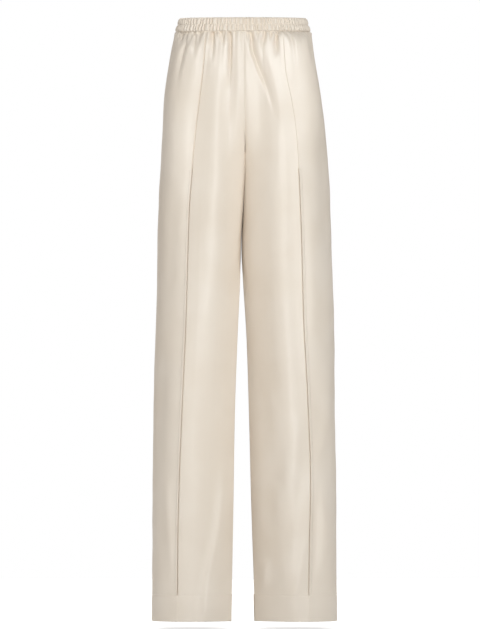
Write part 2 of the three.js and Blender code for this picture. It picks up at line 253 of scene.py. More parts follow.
@dataclass(frozen=True)
class GarmentForm:
    """The plain form of the pants: a ring round the hips that forks into two legs."""

    outseam: float = 1131
    band_height: float = 26
    seam_gap: float = 0.04
    crotch_drop: float = 268
    hem_height: float = 50
    tuck_top: float = 284
    back_power: float = 2.15
    front_power: dict[Leg, Line] = lines_by(
        Leg,
        ((26, 2.15), (60, 3.4), (150, 3.6), (320, 2.5), (500, 2.15)),
        ((26, 2.15), (50, 6.4), (150, 5.8), (260, 3.0), (420, 2.6), (1131, 2.6)),
    )
    inner_power: dict[Face, float] = field(default_factory=lambda: {Face.FRONT: 1.45, Face.BACK: 2.15})
    waist_flat: float = 0.15
    fork_drop: float = 200
    fork_start_power: float = 2.5
    fork_end_power: float = 0.6
    curve_samples: int = 361
    wall_samples: int = 61
    outline: dict[Leg, Line] = lines_by(
        Leg,
        ((0, 119), (26, 127), (43, 131), (80, 138.5), (155, 149.5), (230, 153.5), (342, 159), (492, 163),
         (716, 167), (940, 170), (1131, 171)),
        ((0, 116), (26, 124), (43, 127), (80, 133), (155, 145), (230, 153.5), (342, 161), (492, 165),
         (716, 168.5), (940, 171.5), (1131, 172.5)),
    )
    inseam: dict[Leg, Line] = lines_by(
        Leg,
        ((0, -0.5), (200, -1.5), (268, -2.4), (342, 0.4), (436, 5), (492, 6.6), (604, 11.6), (754, 16.8),
         (903, 19), (1131, 23.2)),
        ((0, 0.5), (200, 1.5), (268, 2.4), (342, -0.4), (436, -4.2), (492, -1.4), (604, 5.4), (754, 10.1),
         (903, 13.8), (1131, 21.5)),
    )
    depth: dict[Face, Line] = lines_by(
        Face,
        ((0, 88), (26, 91), (80, 97), (155, 102), (230, 104), (342, 102), (492, 98), (716, 94), (1131, 91)),
        ((0, 95), (26, 100), (80, 113), (155, 125), (230, 129), (342, 124), (492, 115), (716, 106), (1131, 99)),
    )
    crease: dict[Leg, Line] = lines_by(
        Leg,
        ((26, 72), (99, 77.5), (155, 84), (208, 90.5), (284, 97.8), (364, 104), (574, 109), (716, 115),
         (877, 121), (1000, 123.6), (1131, 124)),
        ((26, 74), (99, 79), (155, 90), (208, 98), (284, 103.5), (364, 107), (574, 112.8), (716, 120),
         (877, 125), (1000, 122.8), (1131, 121.6)),
    )
    back_meeting: Line = Line((
        (60, 1), (120, 0.995), (180, 0.97), (230, 0.90), (268, 0.86), (350, 0.82), (400, 0.70), (436, 0.5),
        (470, 0.22), (500, 0),
    ))
    front_meeting: dict[Leg, Line] = lines_by(
        Leg,
        ((60, 1), (120, 0.995), (180, 0.97), (230, 0.90), (268, 0.83), (320, 0.76), (400, 0.69), (520, 0.64),
         (700, 0.60), (1131, 0.60)),
        ((60, 1), (120, 0.995), (180, 0.97), (230, 0.89), (268, 0.78), (320, 0.65), (400, 0.53), (520, 0.47),
         (700, 0.41), (1131, 0.40)),
    )
    valley: Line = Line((
        (60, 0), (120, 1.5), (200, 5), (250, 12), (350, 16), (430, 17), (500, 14), (600, 9), (800, 4), (1131, 2),
    ))
    valley_width: float = 20.0
    valley_shape: float = 1.5
    valley_fade: Range = (0.4, 1)
    crevice: Line = Line(((190, 0), (255, 3), (300, 8), (400, 18), (440, 18), (485, 0)))
    crevice_width: float = 2.6
    crevice_shape: float = 1.3

    @property
    def band_top(self) -> float:
        """Height of the waistband's top edge over the origin."""
        return self.band_height / 2

    @property
    def hem_drop(self) -> float:
        """Drop of the hem's stitched line."""
        return self.outseam - self.hem_height

    def seam_depth(self, drops: np.ndarray) -> np.ndarray:
        """Gives how far forward the centre seam is, from a share of 1 above the fork to 0 from the crotch down."""
        share = np.clip((drops - self.fork_drop) / (self.crotch_drop - self.fork_drop), 0, 1)
        return (1 - share**self.fork_start_power) ** self.fork_end_power

    def section(self, leg: Leg, face: Face, drops: np.ndarray, gap: float = 0) -> Section:
        """Works out the plain curves of one panel.

        Args:
            leg: The wearer's leg.
            face: Its front or back half.
            drops: The drops of the rows.
            gap: The whole gap at the panel's seams.

        Returns:
            The curves.
        """
        outer = self.outline[leg].at(drops)[:, None]
        inner = self.inseam[leg].at(drops)[:, None] + gap / 2
        depth = self.depth[face].at(drops)[:, None]
        flat = self.waist_flat + (1 - self.waist_flat) * eased(drops, 0, self.crotch_drop)[:, None]
        middle = flat * (outer + inner) / 2
        front_power = self.front_power[leg].at(drops)[:, None]
        power, inner_power = front_power if face is Face.FRONT else self.back_power, self.inner_power[face]
        angle = np.linspace(0, math.pi / 2, self.curve_samples)[None, :]
        side = np.cos(angle) ** (2 / power)
        inward = np.sin(angle[:, 1:]) ** (2 / inner_power)
        meets = self.front_meeting[leg] if face is Face.FRONT else self.back_meeting
        meeting, valley, crevice = (line.at(drops)[:, None] for line in (meets, self.valley, self.crevice))
        cut = (1 - meeting**inner_power) ** (1 / inner_power)
        from_inner = (middle - inner) * (1 - inward)
        inner_out = depth * (1 - (cut * inward) ** inner_power) ** (1 / inner_power)
        near = 1 - eased(1 - inward, *self.valley_fade)
        inner_out = inner_out - valley * near * hump(from_inner, self.valley_width, self.valley_shape)
        inner_out = np.maximum(inner_out - crevice * hump(from_inner, self.crevice_width, self.crevice_shape), 0)
        turned = np.maximum(depth * meeting - valley - crevice, 0)
        wall = np.maximum(0, turned - depth * self.seam_depth(drops)[:, None])
        down = np.linspace(0, 1, self.wall_samples + 1)[None, 1:]
        across = [middle + (outer - middle) * side, middle - (middle - inner) * inward, inner + 0 * down]
        across = np.concatenate(across, axis=1)
        out = np.concatenate([depth * (1 - side**power) ** (1 / power), inner_out, turned - wall * down], axis=1)
        crease = self.crease[leg].at(drops)
        return Section(leg, face, drops, across, out, wall, self.wall_samples, crease, gap, self.band_top)


@dataclass(frozen=True)
class Fold:
    """A soft ridge, or a trough where its height is negative, along a few (drop, across) places of a panel."""

    path: Rows
    width: float
    height: float
    lean: float = 0.0
    rise: float = 0.3
    fall: float = 0.4
    power: float = 2.0

    def height_at(self, drops: np.ndarray, across: np.ndarray) -> np.ndarray:
        """Gives the fold's height over the cloth around it.

        Args:
            drops: The drop of each row, as a column.
            across: Distance of each point from x = 0, on the fold's own side.

        Returns:
            The height at each point. A positive lean makes the fold's outer flank the longer one.
        """
        first, last = self.path[0][0], self.path[-1][0]
        share = np.clip((drops - first) / (last - first), 0, 1)
        ends = eased(share, 0, self.rise) * (1 - eased(share, 1 - self.fall, 1))
        away = across - Line(self.path).at(drops)
        flank = self.width * np.where(away > 0, 1 + self.lean, 1 - self.lean)
        return self.height * ends * hump(away, flank, self.power)


@dataclass(frozen=True)
class Gathers:
    """Rounded crests and sharp troughs where a panel is drawn up into the waistband."""

    count: float
    height: float
    reach: float
    spread: float
    sharpness: float
    uneven: tuple[Wave, Wave] = (Wave(0.42, 9.7), Wave(0.3, 23.3, 2.1))
    mean_size: float = 0.72
    size_wave: Wave = Wave(0.38, 4.1, 1.7)
    reach_wave: Wave = Wave(1.0, 2.3, phase=0.6)
    mean_crest: float = 0.6
    fade_power: float = 1.15

    def height_at(self, share: np.ndarray, below: np.ndarray, turn: float) -> np.ndarray:
        """Gives the gathers' height.

        Args:
            share: How far along its panel's curve each point is, from 0 to 1.
            below: How far each row is below the waistband, as a column.
            turn: A phase that makes one panel's gathers differ from another's.

        Returns:
            The height at each point.
        """
        count = self.count * share + sum(wave.at(share, turn) for wave in self.uneven)
        crest = np.abs(np.sin(math.pi * count)) ** self.sharpness
        size = self.height * (self.mean_size + self.size_wave.at(count, turn))
        reach = self.reach * (1 + self.spread * self.reach_wave.at(count, turn))
        return size * (crest - self.mean_crest) * hump(np.maximum(below, 0), reach, self.fade_power)


@dataclass(frozen=True)
class Swells:
    """Slow, uneven waves through the whole garment, the same on both sides of a seam."""

    waves: int
    height: float
    widths: Range
    lengths: Range
    seed: int

    def height_at(self, points: np.ndarray) -> np.ndarray:
        """Gives the waves' height.

        Args:
            points: Places in millimetres.

        Returns:
            The height at each place.
        """
        draw = np.random.default_rng(self.seed)
        total = np.zeros(points.shape[:-1])
        for _ in range(self.waves):
            turn, phase = draw.uniform(0, 2 * math.pi, 2)
            width, length = draw.uniform(*self.widths), draw.uniform(*self.lengths)
            sideways = points[..., 0] * math.cos(turn) + points[..., 1] * math.sin(turn)
            total += np.sin(2 * math.pi * (sideways / width + points[..., 2] / length) + phase)
        return self.height * total / math.sqrt(self.waves)


def trough(path: Rows, width: float, height: float, lean: float = 0.0, fall: float = 0.8, power: float = 1.6) -> Fold:
    """Makes a sharp fold that starts in full at the waistband.

    Args:
        path: Its (drop, across) places.
        width: Its width.
        height: Its height, which is negative.
        lean: How much longer its outer flank is.
        fall: The share of its length over which it fades out.
        power: How square its shoulders are.

    Returns:
        The fold.
    """
    return Fold(path, width, height, lean, rise=0.02, fall=fall, power=power)


FOLDS = {
    (Leg.RIGHT, Face.FRONT): (
        # short, sharp gathers under the waistband
        trough(((24, 93), (62, 93), (84, 94)), 3.8, -8.4),
        trough(((24, 82), (47, 86), (62, 88)), 3.2, -7.7),
        trough(((24, 58), (47, 57.5), (90, 60)), 3.9, -9.1, 0.2),
        trough(((24, 52), (36, 51), (46, 50)), 2.6, -6.9),
        trough(((24, 42), (40, 40), (62, 35)), 3.2, -6.2),
        trough(((24, 101), (44, 101), (56, 102)), 2.8, -6.6),
        trough(((24, 116), (44, 119), (66, 122)), 3.0, -6.2),
        # deep troughs that run on down from the waistband
        trough(((24, 27), (37, 23.7), (62, 24.3), (99, 25), (150, 28)), 3.2, -11.0, 0.3, power=1.4),
        Fold(((60, 21), (127, 25), (180, 29.5), (310, 30)), 13, -3.6, 0.3, fall=0.5),
        trough(((24, 107), (47, 110), (62, 113.5), (99, 121), (150, 127)), 4.6, -7.0, 0.2),
        # soft ridges between them
        Fold(((50, 10), (150, 10), (240, 12)), 7, 1.6),
        Fold(((60, 46), (170, 52), (330, 60)), 16, 3.2, 0.2),
        # thigh
        Fold(((110, 42), (250, 46), (350, 52), (520, 56), (800, 60)), 24, 9.0, fall=0.6),
        Fold(((270, 56), (380, 62), (520, 70), (700, 82)), 24, 3.4, 0.2),
        Fold(((290, 128), (420, 134), (560, 140)), 12, -2.4),
        # shin and hem
        Fold(((820, 34), (935, 45), (1000, 56), (1050, 66), (1150, 74)), 20, 7.5, -0.5, 0.35, 0.15),
        Fold(((840, 142), (900, 140), (980, 136), (1070, 132)), 8, 3.6, 0.1),
        Fold(((600, 148), (760, 154), (900, 158)), 10, -2.6),
    ),
    (Leg.LEFT, Face.FRONT): (
        # short, sharp gathers under the waistband
        trough(((24, 7), (40, 7), (52, 8)), 2.8, -6.6),
        trough(((24, 40), (36, 38.5), (60, 35)), 3.2, -8.4),
        trough(((24, 27), (34, 26), (48, 25)), 2.6, -5.0),
        trough(((24, 64), (47, 60), (62, 61), (80, 57)), 3.4, -8.4, fall=0.7),
        trough(((24, 51), (34, 51), (48, 50)), 2.8, -4.8),
        trough(((24, 88), (40, 90), (60, 93)), 3.4, -4.1),
        trough(((24, 104), (40, 106), (58, 109)), 3.4, -3.6),
        trough(((24, 120), (47, 125), (66, 128), (100, 132)), 4.0, -5.0, fall=0.7),
        # a deep trough that runs on down from the waistband, its wide lower part, and a soft ridge beside them
        trough(((24, 14), (57, 16), (90, 26), (141, 46), (200, 62)), 5.4, -9.0, 0.35, 0.75),
        Fold(((60, 15), (120, 27), (180, 31), (300, 34)), 16, -5.6, 0.1),
        Fold(((50, 40), (120, 58), (230, 76)), 12, 2.6, 0.2),
        # thigh
        Fold(
            ((150, 62), (300, 62), (420, 64), (560, 72), (700, 82), (900, 90), (1150, 90)), 25, 11.0, -0.1, 0.16, 0.12,
        ),
        Fold(((150, 138), (260, 147), (400, 152), (560, 156)), 13, -6.0, rise=0.25),
        Fold(((290, 121), (400, 124), (560, 128), (700, 130)), 12, 3.6),
        # shin and hem
        Fold(((720, 106), (800, 97), (860, 86), (930, 72)), 14, 3.4),
        Fold(((830, 114), (900, 100), (960, 86), (1030, 74)), 12, -3.0),
        Fold(((960, 118), (1030, 108), (1110, 88)), 10, 3.2, 0.2),
        Fold(((640, 150), (740, 152), (830, 140), (880, 136)), 10, 3.6),
        Fold(((830, 152), (900, 146), (970, 150), (1080, 136)), 10, 4.0, 0.1),
        Fold(((880, 138), (930, 132), (990, 131), (1060, 128)), 8, -3.2),
        Fold(((1010, 44), (1046, 40), (1076, 36)), 10, 2.8),
        Fold(((690, 46), (740, 58), (800, 62)), 12, 2.6),
        Fold(((860, 58), (900, 66), (960, 60)), 11, 2.2),
    ),
    (Leg.RIGHT, Face.BACK): (
        trough(((22, 38), (80, 40), (150, 46), (215, 54)), 7, -3.8, 0.2, 0.75, 1.7),
        trough(((22, 86), (70, 92), (150, 104)), 6, -3.0, 0.2, 0.75, 1.7),
        Fold(((70, 64), (150, 70), (260, 76)), 14, 1.8),
        Fold(((270, 26), (330, 44), (420, 62), (520, 76)), 16, -3.4, 0.2),
        Fold(((300, 60), (390, 84), (500, 98)), 16, 2.2),
        Fold(((560, 112), (700, 100), (900, 84), (1130, 62)), 17, 2.8, 0.2),
        Fold(((760, 60), (900, 54), (1060, 46)), 13, -2.2),
    ),
    (Leg.LEFT, Face.BACK): (
        trough(((22, 26), (80, 32), (140, 40), (195, 48)), 7, -3.9, 0.2, 0.75, 1.7),
        trough(((22, 78), (70, 86), (140, 98)), 6, -3.0, 0.2, 0.75, 1.7),
        Fold(((60, 58), (150, 66), (250, 74)), 14, 1.7),
        Fold(((262, 24), (320, 46), (400, 64), (500, 80)), 16, -3.2, 0.2),
        Fold(((290, 62), (380, 86), (480, 100)), 16, 2.0),
        Fold(((520, 66), (700, 78), (900, 92), (1090, 102)), 17, 2.8, -0.2),
        Fold(((800, 128), (920, 124), (1050, 126)), 13, -2.2),
    ),
}


@dataclass(frozen=True)
class Drape:
    """How the cloth stands off the plain form: gathers, pleat, crease, folds and slow waves."""

    form: GarmentForm
    fine_gathers: Gathers = Gathers(15.5, 6.0, 13, 0.5, 0.9)
    wide_gathers: Gathers = Gathers(6.3, 3.6, 50, 0.45, 0.9)
    folds: dict[tuple[Leg, Face], tuple[Fold, ...]] = field(default_factory=lambda: FOLDS)
    facing_gain: float = 1.4
    slow_waves: Swells = Swells(7, 0.75, (70, 150), (260, 620), 11)
    slow_onset: Range = (40, 260)
    quick_waves: Swells = Swells(8, 0.16, (26, 52), (70, 170), 5)
    quick_onset: Range = (20, 120)
    front_evenness: float = 1.2
    leg_turn: float = 1.9
    face_turn: float = 0.8
    wide_turn: float = 2.7
    pleat_ridge: dict[Leg, Line] = lines_by(
        Leg,
        ((26, 0), (380, 0), (560, 4), (700, 8), (1131, 8)),
        ((26, 0.6), (120, 3.0), (200, 6.0), (284, 9.0), (600, 13.0), (1131, 11.0)),
    )
    ridge_reach: Range = (64, 66)
    pleat_valley: dict[Leg, Line] = lines_by(
        Leg, ((26, 2), (50, 5.5), (150, 7.5), (300, 7.5), (420, 4), (560, 0), (1131, 0)), ((26, 0), (1131, 0)),
    )
    valley_reach: Range = (16, 36)
    pleat_lap: Line = Line(((26, 0.2), (60, 1.5), (160, 1.2), (1131, 1.0)))
    pleat_edge: float = 1.1
    lap_reach: float = 12
    crease_groove: dict[Leg, Line] = lines_by(
        Leg,
        ((26, 0), (45, 1.6), (281, 1.2), (286, 3.2), (1079, 3.2), (1083, 0)),
        ((26, 0), (45, 0.3), (281, 0.2), (286, 3.2), (1079, 3.2), (1083, 0)),
    )
    groove_place: float = 0.95
    groove_width: float = 0.62
    held_height: float = 0.4
    free_height: float = 60
    freed: Range = (-0.5, 4)
    tucked_in: float = 1.1
    tucked: Range = (-1, 2)
    seam_clear: float = 9
    seam_roll: float = 1.0
    seam_width: float = 2.0
    joined_width: float = 4
    hem_pucker: float = 0.75
    hem_wave: Wave = Wave(0.5, 0.83)
    hem_drift: Wave = Wave(1.2, 0.21)
    hem_ridge: Triple = (0.34, -1.2, 1.1)
    hem_groove: Triple = (0.42, 0.6, 0.8)
    hem_fullness: float = 0.3
    hem_ease: float = 5
    edge_radius: float = 1.3
    edge_turn: float = 1.0

    def height(self, section: Section, arcs: np.ndarray) -> np.ndarray:
        """Gives the cloth's height over the plain form.

        Args:
            section: The plain curves of one panel.
            arcs: Arc lengths along them, a row for each drop.

        Returns:
            The height of the cloth's outside at each point.
        """
        drops, below = section.drops[:, None], section.drops[:, None] - self.form.band_height
        points, normals = section.place(arcs)
        to_seam = np.minimum(arcs, section.length - arcs)
        clear = eased(to_seam, 0, self.seam_clear)
        height = self.slow_waves.height_at(points) * eased(drops, *self.slow_onset)
        height += self.quick_waves.height_at(points) * eased(drops, *self.quick_onset)
        height += clear * self._gathers(section, arcs / section.length, below)
        height += clear * self._folds(section, drops, section.leg.value * points[..., 0], normals)
        if section.face is Face.FRONT:
            height += clear * self._pleat(section.leg, drops, arcs - section.crease_arc())
        limit = self.held_height + self.free_height * eased(below, *self.freed) ** 2
        height = limit * np.tanh(height / limit)
        height -= self.seam_roll * hump(to_seam, self.seam_width)
        height -= self.tucked_in * (1 - eased(below, *self.tucked))
        joined = section.walled * (drops < self.form.crotch_drop) * (2 * arcs > section.length)
        height *= 1 - joined * hump(to_seam, self.joined_width)
        return height + self._hem(section, arcs, drops)

    def _gathers(self, section: Section, share: np.ndarray, below: np.ndarray) -> np.ndarray:
        """Gives the height of the gathers under the waistband.

        Args:
            section: The plain curves of one panel.
            share: How far along its curve each point is.
            below: How far each row is below the waistband, as a column.

        Returns:
            The height at each point.
        """
        turn = self.leg_turn * section.leg.value + self.face_turn * section.face.value
        fine = self.fine_gathers.height_at(share, below, turn)
        wide = self.wide_gathers.height_at(share, below, self.wide_turn * turn)
        return (self.front_evenness if section.face is Face.FRONT else 1.0) * (fine + wide)

    def _folds(
        self, section: Section, drops: np.ndarray, across: np.ndarray, normals: np.ndarray
    ) -> np.ndarray:
        """Gives the height of the listed folds, which fade where the cloth faces sideways."""
        facing = np.minimum(1, self.facing_gain * np.abs(normals[..., 1]))
        return facing * sum(fold.height_at(drops, across) for fold in self.folds[section.leg, section.face])

    def _pleat(self, leg: Leg, drops: np.ndarray, past: np.ndarray) -> np.ndarray:
        """Gives the height of the pressed front crease and of the pleat that laps over its inner side.

        Args:
            leg: The wearer's leg.
            drops: The drop of each row, as a column.
            past: How far each point is past the crease, towards the middle.

        Returns:
            The height at each point.
        """
        outer = past < 0
        ridge = self.pleat_ridge[leg].at(drops) * hump(past, np.where(outer, *self.ridge_reach), 1)
        valley = self.pleat_valley[leg].at(drops) * hump(past, np.where(outer, *self.valley_reach), 1)
        lap = self.pleat_lap.at(drops) * eased(past, 0, self.pleat_edge)
        lap = lap * hump(np.maximum(past, 0), self.lap_reach, 1)
        groove = self.crease_groove[leg].at(drops) * hump(past - self.groove_place, self.groove_width)
        return ridge - valley - lap - groove

    def _hem(self, section: Section, arcs: np.ndarray, drops: np.ndarray) -> np.ndarray:
        """Gives the height of the hem's stitched line, its fullness below that, and its rounded lower edge.

        Args:
            section: The plain curves of one panel.
            arcs: Arc lengths along them.
            drops: The drop of each row, as a column.

        Returns:
            The height at each point.
        """
        below = drops - self.form.hem_drop
        pucker = self.hem_pucker + self.hem_wave.at(arcs, self.hem_drift.at(arcs) + section.leg.value)
        ridge, groove = (
            size * hump(below - place, width) for size, place, width in (self.hem_ridge, self.hem_groove)
        )
        edge = np.clip((drops - (self.form.outseam - self.edge_radius)) / self.edge_radius, 0, 1)
        full = self.hem_fullness * eased(below, 0, self.hem_ease) - self.edge_turn * (1 - np.sqrt(1 - edge**2))
        return pucker * (ridge - groove) + full


def feed(tree: bpy.types.NodeTree, node: bpy.types.Node, inputs: dict[str | int, object]) -> None:
    """Sets a node's inputs, and links those that are given as another node's output.

    Args:
        tree: The node tree.
        node: The node.
        inputs: A value or an output for each input.
    """
    for key, value in inputs.items():
        if isinstance(value, bpy.types.NodeSocket):
            tree.links.new(value, node.inputs[key])
        else:
            node.inputs[key].default_value = value


def add_node(
    tree: bpy.types.NodeTree, kind: str, inputs: dict[str | int, object] | None = None, **settings: object
) -> bpy.types.Node:
    """Adds a shader node.

    Args:
        tree: The node tree.
        kind: The node's type without the word ShaderNode.
        inputs: A value or another node's output for each input that is set.
        **settings: The node's own settings.

    Returns:
        The node.
    """
    node = tree.nodes.new(f"ShaderNode{kind}")
    for name, value in settings.items():
        setattr(node, name, value)
    feed(tree, node, inputs or {})
    return node


def new_group(name: str, inputs: dict[str, str], outputs: dict[str, str]) -> bpy.types.ShaderNodeTree:
    """Starts a shader node group with named sockets.

    Args:
        name: The group's name.
        inputs: Socket type of each input by name.
        outputs: Socket type of each output by name.

    Returns:
        The group, with its input and output nodes named after what they are.
    """
    group = bpy.data.node_groups.new(name, "ShaderNodeTree")
    for title, kind in inputs.items():
        group.interface.new_socket(title, in_out="INPUT", socket_type=kind)
    for title, kind in outputs.items():
        group.interface.new_socket(title, in_out="OUTPUT", socket_type=kind)
    group.nodes.new("NodeGroupInput").name = "given"
    group.nodes.new("NodeGroupOutput").name = "made"
    return group


def woven_threads() -> bpy.types.ShaderNodeTree:
    """Builds the weave: fine threads along the cloth's length, with long uneven slubs.

    Returns:
        A group that takes a place on the cloth in metres and gives the threads' height and tone.
    """
    found = bpy.data.node_groups.get("woven_threads")
    if found:
        return found
    group = new_group(
        "woven_threads",
        {"Place": "NodeSocketVector", "Pitch": "NodeSocketFloat", "Slub Length": "NodeSocketFloat"},
        {"Height": "NodeSocketFloat", "Tone": "NodeSocketFloat"},
    )
    given, made = group.nodes["given"], group.nodes["made"]
    apart = add_node(group, "SeparateXYZ", {"Vector": given.outputs["Place"]})
    across = add_node(group, "Math", {0: apart.outputs["X"], 1: given.outputs["Pitch"]}, operation="DIVIDE")
    along = add_node(group, "Math", {0: apart.outputs["Y"], 1: given.outputs["Slub Length"]}, operation="DIVIDE")
    drawn = add_node(group, "CombineXYZ", {"X": across.outputs["Value"], "Y": along.outputs["Value"]})
    drawn = drawn.outputs["Vector"]
    threads = add_node(group, "TexNoise", {"Vector": drawn, "Scale": 0.5, "Detail": 2, "Roughness": 0.6})
    slubs = add_node(group, "TexNoise", {"Vector": drawn, "Scale": 0.06, "Detail": 3})
    tone = add_node(group, "Math", {0: slubs.outputs["Fac"], 1: 0.5}, operation="SUBTRACT")
    feed(group, made, {"Height": threads.outputs["Fac"], "Tone": tone.outputs["Value"]})
    return group


def cloth_clouding() -> bpy.types.ShaderNodeTree:
    """Builds the slow, soft change of tone over a large piece of cloth.

    Returns:
        A group that takes a place in metres and gives a mask from 0 to 1.
    """
    found = bpy.data.node_groups.get("cloth_clouding")
    if found:
        return found
    group = new_group("cloth_clouding", {"Place": "NodeSocketVector"}, {"Cloud": "NodeSocketFloat"})
    place = group.nodes["given"].outputs["Place"]
    cloud = add_node(group, "TexNoise", {"Vector": place, "Scale": 9, "Detail": 2})
    mask = add_node(group, "MapRange", {"Value": cloud.outputs["Fac"], "From Min": 0.35, "From Max": 0.65})
    feed(group, group.nodes["made"], {"Cloud": mask.outputs["Result"]})
    return group


@dataclass(frozen=True)
class Finish:
    """A surface finish, whose material is built once and then found by its name."""

    name: str

    def material(self) -> bpy.types.Material:
        """Gives the finish's material."""
        return bpy.data.materials.get(self.name) or self._build()

    def _build(self) -> bpy.types.Material:
        """Builds the material.

        Returns:
            The material.
        """
        made = bpy.data.materials.new(self.name)
        made.use_nodes = True
        self._dress(made.node_tree, made.node_tree.nodes["Principled BSDF"])
        return made

    def _dress(self, tree: bpy.types.ShaderNodeTree, shader: bpy.types.Node) -> None:
        """Gives the new material its look, which each finish does in its own way.

        Args:
            tree: The material's nodes.
            shader: Its surface shader.
        """
        raise NotImplementedError


@dataclass(frozen=True)
class SatinFinish(Finish):
    """Cream satin: a soft, long-floated weave with a slight sheen."""

    name: str = "satin_right_side"
    colour: Triple = (0.785, 0.70, 0.602)
    shade: Triple = (0.755, 0.664, 0.56)
    roughness: float = 0.54
    rougher: Range = (-0.05, 0.06)
    sheen: float = 0.0
    sheen_roughness: float = 0.35
    gloss: float = 0.9
    anisotropy: float = 0.3
    gloss_turn: float = 0.25
    thread_pitch: float = 0.00042
    slub_length: float = 0.035
    slub_tone: float = 0.35
    weave_depth: float = 0.000012
    weave_strength: float = 0.6

    def _dress(self, tree: bpy.types.ShaderNodeTree, shader: bpy.types.Node) -> None:
        """Gives the satin its threads, clouding, gloss and sheen.

        Args:
            tree: The material's nodes.
            shader: Its surface shader.
        """
        place = add_node(tree, "UVMap", uv_map=CLOTH_MAP).outputs["UV"]
        tangent = add_node(tree, "Tangent", direction_type="UV_MAP", uv_map=CLOTH_MAP)
        threads = {"Place": place, "Pitch": self.thread_pitch, "Slub Length": self.slub_length}
        weave = add_node(tree, "Group", threads, node_tree=woven_threads())
        body = add_node(tree, "TexCoord").outputs["Object"]
        cloud = add_node(tree, "Group", {"Place": body}, node_tree=cloth_clouding()).outputs["Cloud"]
        tones = {0: weave.outputs["Tone"], 1: self.slub_tone, 2: cloud}
        tone = add_node(tree, "Math", tones, operation="MULTIPLY_ADD").outputs["Value"]
        mixed = {"Factor": tone, "A": (*self.colour, 1), "B": (*self.shade, 1)}
        colour = add_node(tree, "Mix", mixed, data_type="RGBA")
        low, high = (self.roughness + change for change in self.rougher)
        rough = add_node(tree, "MapRange", {"Value": cloud, "To Min": low, "To Max": high})
        raised = {"Height": weave.outputs["Height"], "Strength": self.weave_strength, "Distance": self.weave_depth}
        bump = add_node(tree, "Bump", raised)
        feed(tree, shader, {
            "Base Color": colour.outputs["Result"], "Roughness": rough.outputs["Result"],
            "Normal": bump.outputs["Normal"], "Tangent": tangent.outputs["Tangent"],
            "Sheen Weight": self.sheen, "Sheen Roughness": self.sheen_roughness,
            "Anisotropic": self.anisotropy, "Anisotropic Rotation": self.gloss_turn, "Specular IOR Level": self.gloss,
        })


RIGHT_SIDE = SatinFinish()
WRONG_SIDE = SatinFinish("satin_wrong_side", roughness=0.62, sheen=0.2, gloss=0.4, anisotropy=0.1)


@dataclass(frozen=True)
class ThreadFinish(Finish):
    """Polyester sewing thread, a shade deeper than the satin."""

    name: str = "sewing_thread"
    colour: Triple = (0.74, 0.66, 0.54)
    shade: float = 0.86
    roughness: float = 0.55
    sheen: float = 0.2
    ply_pitch: float = 0.0007

    def _dress(self, tree: bpy.types.ShaderNodeTree, shader: bpy.types.Node) -> None:
        """Gives the thread the mottled look of its plies.

        Args:
            tree: The material's nodes.
            shader: Its surface shader.
        """
        body = add_node(tree, "TexCoord").outputs["Object"]
        ply = add_node(tree, "TexNoise", {"Vector": body, "Scale": 1 / self.ply_pitch})
        shade = (*(self.shade * part for part in self.colour), 1)
        mixed = {"Factor": ply.outputs["Fac"], "A": (*self.colour, 1), "B": shade}
        colour = add_node(tree, "Mix", mixed, data_type="RGBA").outputs["Result"]
        feed(tree, shader, {"Base Color": colour, "Roughness": self.roughness, "Sheen Weight": self.sheen})


def cloth_grid(points: np.ndarray, places: np.ndarray, turned: bool, closed: bool = False) -> bmesh.types.BMesh:
    """Moves the vertices of a grid into a piece of cloth.

    Args:
        points: Where the grid's vertices go, in millimetres, as rows of columns.
        places: The same vertices' places on the flat cloth, in millimetres.
        turned: Whether the grid has to be turned over to face outwards.
        closed: Whether vertices that meet are merged.

    Returns:
        The cloth.
    """
    rows, columns = points.shape[:2]
    cloth = bmesh.new()
    bmesh.ops.create_grid(cloth, x_segments=columns - 1, y_segments=rows - 1, size=0.5)
    flat_map = cloth.loops.layers.uv.new(CLOTH_MAP)
    spots = []
    for vert in cloth.verts:
        column, row = round((vert.co.x + 0.5) * (columns - 1)), round((0.5 - vert.co.y) * (rows - 1))
        spots.append((places[row, column] * MM).tolist())
        vert.co = (points[row, column] * MM).tolist()
    for patch in cloth.faces:
        patch.smooth = True
        for corner in patch.loops:
            corner[flat_map].uv = spots[corner.vert.index]
    if turned:
        bmesh.ops.reverse_faces(cloth, faces=cloth.faces)
    if closed:
        bmesh.ops.remove_doubles(cloth, verts=cloth.verts, dist=MERGE_GAP * MM)
    return cloth


def placed(name: str, data: bpy.types.ID) -> bpy.types.Object:
    """Puts a new object in the scene.

    Args:
        name: The object's name.
        data: Its mesh, light or camera.

    Returns:
        The object.
    """
    made = bpy.data.objects.new(name, data)
    bpy.context.scene.collection.objects.link(made)
    return made


def meshed(name: str, shape: bmesh.types.BMesh, *finishes: Finish) -> bpy.types.Object:
    """Puts a modelled mesh in the scene.

    Args:
        name: The object's name.
        shape: Its mesh, which is freed.
        *finishes: Its finishes.

    Returns:
        The object.
    """
    mesh = bpy.data.meshes.new(name)
    shape.to_mesh(mesh)
    shape.free()
    for finish in finishes:
        mesh.materials.append(finish.material())
    return placed(name, mesh)


def finished_piece(name: str, cloth: bmesh.types.BMesh, *finishes: Finish) -> bpy.types.Object:
    """Makes a modelled mesh a piece of the pants, riding on their body.

    Args:
        name: The piece's name.
        cloth: Its mesh, which is freed.
        *finishes: Its finish, and then that of its inside if that differs.

    Returns:
        The piece.
    """
    piece = meshed(name, cloth, *finishes)
    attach(piece, BODY)
    return piece


def thicken(piece: bpy.types.Object, thickness: float) -> None:
    """Gives a piece of cloth its thickness, inwards.

    Args:
        piece: The cloth.
        thickness: How thick it is, in millimetres.
    """
    shell = piece.modifiers.new("thickness", "SOLIDIFY")
    shell.thickness = thickness * MM
    shell.offset = -1
    shell.use_rim = True
    shell.material_offset = len(piece.data.materials) - 1


